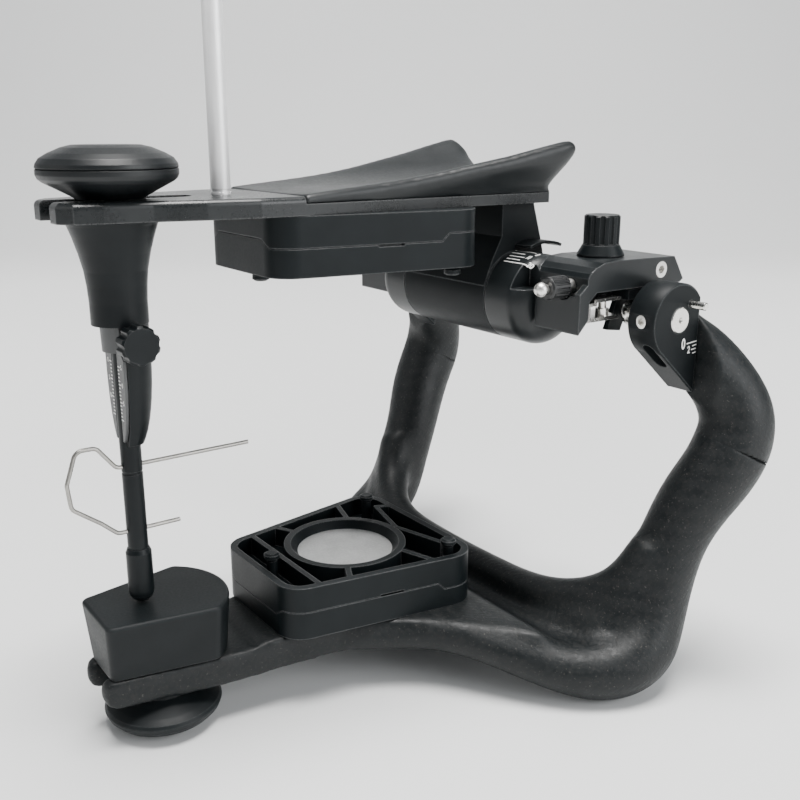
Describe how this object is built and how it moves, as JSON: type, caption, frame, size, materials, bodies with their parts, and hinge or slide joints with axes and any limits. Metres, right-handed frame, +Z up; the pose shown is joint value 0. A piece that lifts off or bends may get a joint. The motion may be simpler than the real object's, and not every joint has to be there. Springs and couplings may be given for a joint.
{
  "type": "dental articulator",
  "caption": "Semi-adjustable dental articulator with a carbon fibre base, opening upper member, split-cast mounting plates, condylar housings, incisal pin and table",
  "frame": {"origin": "Middle of the underside of the foot knob at the front, straight below the incisal pin", "axes": "+Z up, +Y towards the condyles at the rear, +X to the articulator's right side"},
  "size_m": [0.179, 0.1969, 0.2345],
  "materials": {
    "carbon": "satin carbon fibre",
    "black_anodised": "black anodised",
    "black_plastic": "satin",
    "grey_plastic": "satin",
    "steel": "bright",
    "black_screw": "black"
  },
  "bodies": {
    "lower_member": {"lower_frame": "carbon", "right_upright_top": "carbon", "left_upright_top": "carbon", "right_condyle_head": "black_anodised", "left_condyle_head": "black_anodised", "head_set_screws": "steel", "band_pins": "steel", "lower_carrier": "black_anodised", "lower_magnet": "steel", "lower_carrier_screw": "steel"},
    "condyles": {"right_condyle_axle": "steel", "left_condyle_axle": "steel", "right_condyle_ball": "steel", "left_condyle_ball": "steel"},
    "lower_plate": {"lower_mounting_plate": "black_anodised", "lower_keeper_disc": "steel", "lower_cast_posts": "black_anodised"},
    "table": {"incisal_table": "black_plastic"},
    "foot": {"foot_knob": "black_plastic", "foot_stud": "steel"},
    "upper_member": {"upper_frame": "carbon", "hand_rest": "carbon", "cross_housing": "black_anodised", "cross_axle": "steel", "inclination_cursors": "steel", "upper_carrier": "black_anodised", "upper_magnet": "steel", "upper_carrier_screw": "steel", "pin_sleeve": "black_plastic", "scale_head": "grey_plastic", "scale_plates": "grey_plastic"},
    "upper_plate": {"upper_mounting_plate": "black_anodised", "upper_keeper_disc": "steel", "upper_cast_posts": "black_anodised"},
    "clamp_knob": {"top_knob": "black_plastic", "top_knob_cap": "black_plastic", "top_stud": "steel"},
    "pin": {"incisal_pin": "black_plastic", "pin_tip": "black_plastic"},
    "pointer": {"pointer_wire": "steel"},
    "pin_screw": {"pin_thumb_screw": "black_plastic"},
    "rod": {"support_rod": "steel"},
    "right_fossa": {"right_condylar_housing": "black_anodised", "right_side_screw": "steel"},
    "right_guide": {"right_bennett_guide": "black_plastic"},
    "right_lock": {"right_lock_knob": "black_plastic"},
    "right_screw": {"right_thumb_screw": "black_screw"},
    "right_latch": {"right_centric_latch": "steel"},
    "left_fossa": {"left_condylar_housing": "black_anodised", "left_side_screw": "steel"},
    "left_guide": {"left_bennett_guide": "black_plastic"},
    "left_lock": {"left_lock_knob": "black_plastic"},
    "left_screw": {"left_thumb_screw": "black_screw"},
    "left_latch": {"left_centric_latch": "steel"}
  },
  "joints": [
    {"name": "opening", "type": "hinge", "parent": "lower_member", "child": "condyles", "pos_m": [0, 0.1438, 0.1174], "axis": [-1, 0, 0], "range_deg": [0, 180]},
    {"name": "protrusion", "type": "slide", "parent": "condyles", "child": "upper_member", "axis": [0, 1, 0], "range_m": [0, 0.0055]},
    {"name": "lower_plate_lift", "type": "slide", "parent": "lower_member", "child": "lower_plate", "axis": [0, 0, 1], "range_m": [0, 0.02]},
    {"name": "table_shift", "type": "slide", "parent": "lower_member", "child": "table", "axis": [0, 1, 0], "range_m": [-0.005, 0.0035]},
    {"name": "foot_turn", "type": "hinge", "parent": "table", "child": "foot", "pos_m": [0, 0.0032, 0.006], "axis": [0, 0, 1], "continuous": true},
    {"name": "upper_plate_drop", "type": "slide", "parent": "upper_member", "child": "upper_plate", "axis": [0, 0, -1], "range_m": [0, 0.02]},
    {"name": "clamp_knob_turn", "type": "hinge", "parent": "upper_member", "child": "clamp_knob", "pos_m": [0, -0.001, 0.162], "axis": [0, 0, 1], "continuous": true},
    {"name": "pin_lift", "type": "slide", "parent": "upper_member", "child": "pin", "axis": [0, 0, 1], "range_m": [0, 0.0055]},
    {"name": "pointer_slide", "type": "slide", "parent": "pin", "child": "pointer", "axis": [0, -1, 0], "range_m": [0, 0.01]},
    {"name": "pin_screw_turn", "type": "hinge", "parent": "upper_member", "child": "pin_screw", "pos_m": [0.012, -0.001, 0.1183], "axis": [1, 0, 0], "continuous": true},
    {"name": "rod_lift", "type": "slide", "parent": "upper_member", "child": "rod", "axis": [0, 0, 1], "range_m": [0, 0.03]},
    {"name": "right_inclination", "type": "hinge", "parent": "upper_member", "child": "right_fossa", "pos_m": [0.03, 0.123, 0.1206], "axis": [1, 0, 0], "range_deg": [0, 50]},
    {"name": "right_bennett", "type": "hinge", "parent": "right_fossa", "child": "right_guide", "pos_m": [0.0455, 0.1345, 0.124], "axis": [0, 0, 1], "range_deg": [0, 20]},
    {"name": "right_lock_turn", "type": "hinge", "parent": "right_fossa", "child": "right_lock", "pos_m": [0.0455, 0.1345, 0.141], "axis": [0, 0, 1], "continuous": true},
    {"name": "right_screw_turn", "type": "hinge", "parent": "right_fossa", "child": "right_screw", "pos_m": [0.05, 0.112, 0.1276], "axis": [0, -1, 0], "continuous": true},
    {"name": "right_latch_swing", "type": "hinge", "parent": "right_fossa", "child": "right_latch", "pos_m": [0.053, 0.11935, 0.1174], "axis": [1, 0, 0], "range_deg": [-15, 0]},
    {"name": "left_inclination", "type": "hinge", "parent": "upper_member", "child": "left_fossa", "pos_m": [-0.03, 0.123, 0.1206], "axis": [1, 0, 0], "range_deg": [0, 50]},
    {"name": "left_bennett", "type": "hinge", "parent": "left_fossa", "child": "left_guide", "pos_m": [-0.0455, 0.1345, 0.124], "axis": [0, 0, -1], "range_deg": [0, 20]},
    {"name": "left_lock_turn", "type": "hinge", "parent": "left_fossa", "child": "left_lock", "pos_m": [-0.0455, 0.1345, 0.141], "axis": [0, 0, 1], "continuous": true},
    {"name": "left_screw_turn", "type": "hinge", "parent": "left_fossa", "child": "left_screw", "pos_m": [-0.05, 0.112, 0.1276], "axis": [0, -1, 0], "continuous": true},
    {"name": "left_latch_swing", "type": "hinge", "parent": "left_fossa", "child": "left_latch", "pos_m": [-0.053, 0.11935, 0.1174], "axis": [1, 0, 0], "range_deg": [-15, 0]}
  ]
}
